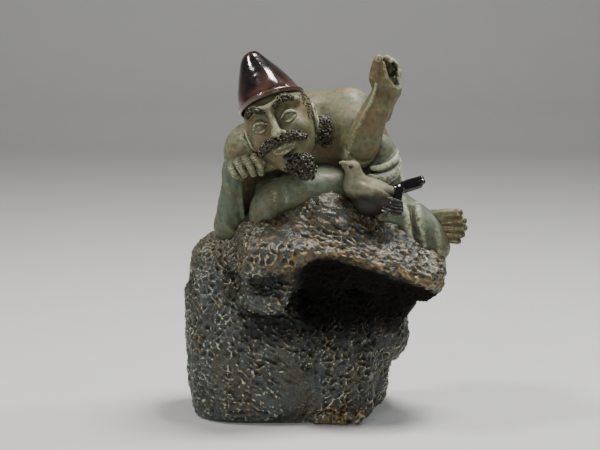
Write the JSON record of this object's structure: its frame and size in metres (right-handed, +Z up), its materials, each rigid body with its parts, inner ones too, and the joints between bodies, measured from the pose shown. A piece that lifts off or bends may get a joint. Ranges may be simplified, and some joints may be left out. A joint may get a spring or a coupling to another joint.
{
  "type": "pottery figure",
  "caption": "Stoneware ornament of a bearded hermit in a pointed cap, leaning over a rugged rock with his chin on his fist and one leg raised, a pigeon beside him.",
  "frame": {"origin": "on the flat underside, below the middle of the rock", "axes": "+Z up, -Y towards the viewer, the side that the hermit and the pigeon face, +X to the viewer's right, the side of the trailing foot"},
  "size_m": [0.1838, 0.1278, 0.236],
  "materials": {
    "stoneware": "semi-matt unglazed stoneware",
    "glaze": "glossy iron-brown glaze on the cap and the bird's tail"
  },
  "bodies": {
    "root": {"hermit_on_rock": "stoneware"}
  },
  "joints": []
}
